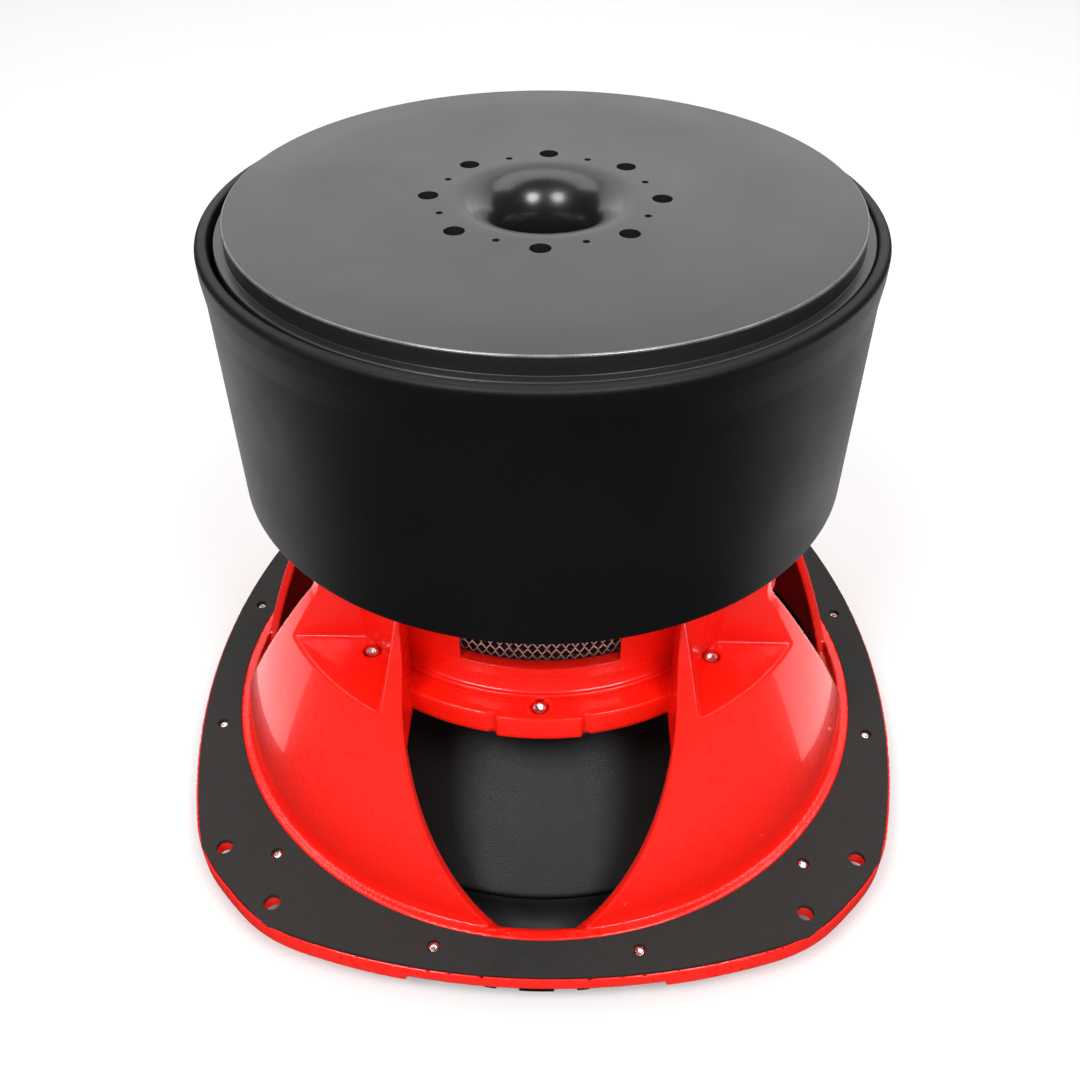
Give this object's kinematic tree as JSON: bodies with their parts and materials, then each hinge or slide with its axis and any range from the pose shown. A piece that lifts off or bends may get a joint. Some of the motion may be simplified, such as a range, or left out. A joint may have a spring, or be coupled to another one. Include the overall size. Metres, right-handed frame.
{
  "type": "car subwoofer speaker",
  "caption": "Heavy long-throw car subwoofer on its face: squarish cast basket, ferrite motor in a rubber boot, vented pole, sprung cone and push terminals.",
  "frame": {"origin": "on the motor axis, in the plane of the front ring that the speaker rests on", "axes": "+Z along the motor axis from cone to motor; -Y towards the window opposite the terminals"},
  "size_m": [0.3882, 0.3882, 0.3183],
  "materials": {
    "red_paint": "gloss red paint",
    "foam": "closed-cell foam",
    "black_steel": "satin black coating",
    "rubber": "matte black rubber",
    "zinc_steel": "bright zinc",
    "ferrite": "ground ferrite",
    "aluminium": "spun aluminium",
    "cone_skin": "black grained pulp",
    "copper_wire": "enamelled copper wire",
    "surround_foam": "black foam rubber",
    "cloth": "resin-dipped woven cloth",
    "brass": "plated brass",
    "braid": "woven tinsel braid",
    "chrome_mesh": "bright expanded metal",
    "terminal_plastic": "moulded black",
    "button_red": "moulded red",
    "button_black": "moulded black"
  },
  "bodies": {
    "frame": {"basket": "red_paint", "rear_gasket": "foam", "surround_clamp_ring": "black_steel", "front_trim_ring": "rubber", "surround_screws": "zinc_steel", "spider_screws": "zinc_steel", "spider_clamp_ring": "black_steel", "front_plate": "black_steel", "motor_bolts": "zinc_steel", "magnet_1": "ferrite", "magnet_2": "ferrite", "magnet_3": "ferrite", "shorting_ring": "aluminium", "t_yoke": "black_steel", "magnet_boot": "rubber", "surround": "surround_foam", "spider": "cloth", "terminal_contacts": "brass", "terminal_screws": "zinc_steel", "tinsel_leads": "braid", "vent_mesh_1": "chrome_mesh", "vent_mesh_2": "chrome_mesh", "vent_mesh_3": "chrome_mesh", "vent_mesh_4": "chrome_mesh", "terminal_block_1": "terminal_plastic", "terminal_block_2": "terminal_plastic", "terminal_spring_1": "zinc_steel", "terminal_spring_2": "zinc_steel", "terminal_spring_3": "zinc_steel", "terminal_spring_4": "zinc_steel"},
    "cone_assembly": {"cone": "cone_skin", "dust_cap": "cone_skin", "voice_coil_former": "aluminium", "voice_coil_winding": "copper_wire"},
    "button_1": {"terminal_button_1": "button_red"},
    "button_2": {"terminal_button_2": "button_black"},
    "button_3": {"terminal_button_3": "button_red"},
    "button_4": {"terminal_button_4": "button_black"}
  },
  "joints": [
    {"name": "cone_slide", "type": "slide", "parent": "frame", "child": "cone_assembly", "axis": [0, 0, 1], "range_m": [-0.02, 0.02], "stiffness_N_per_m": 9000, "deforming": ["surround", "spider", "tinsel_leads"]},
    {"name": "button_1_press", "type": "slide", "parent": "frame", "child": "button_1", "axis": [0, 0, -1], "range_m": [0, 0.0035], "stiffness_N_per_m": 400, "springref_m": -0.001, "deforming": ["terminal_spring_1"]},
    {"name": "button_2_press", "type": "slide", "parent": "frame", "child": "button_2", "axis": [0, 0, -1], "range_m": [0, 0.0035], "stiffness_N_per_m": 400, "springref_m": -0.001, "deforming": ["terminal_spring_2"]},
    {"name": "button_3_press", "type": "slide", "parent": "frame", "child": "button_3", "axis": [0, 0, -1], "range_m": [0, 0.0035], "stiffness_N_per_m": 400, "springref_m": -0.001, "deforming": ["terminal_spring_3"]},
    {"name": "button_4_press", "type": "slide", "parent": "frame", "child": "button_4", "axis": [0, 0, -1], "range_m": [0, 0.0035], "stiffness_N_per_m": 400, "springref_m": -0.001, "deforming": ["terminal_spring_4"]}
  ]
}
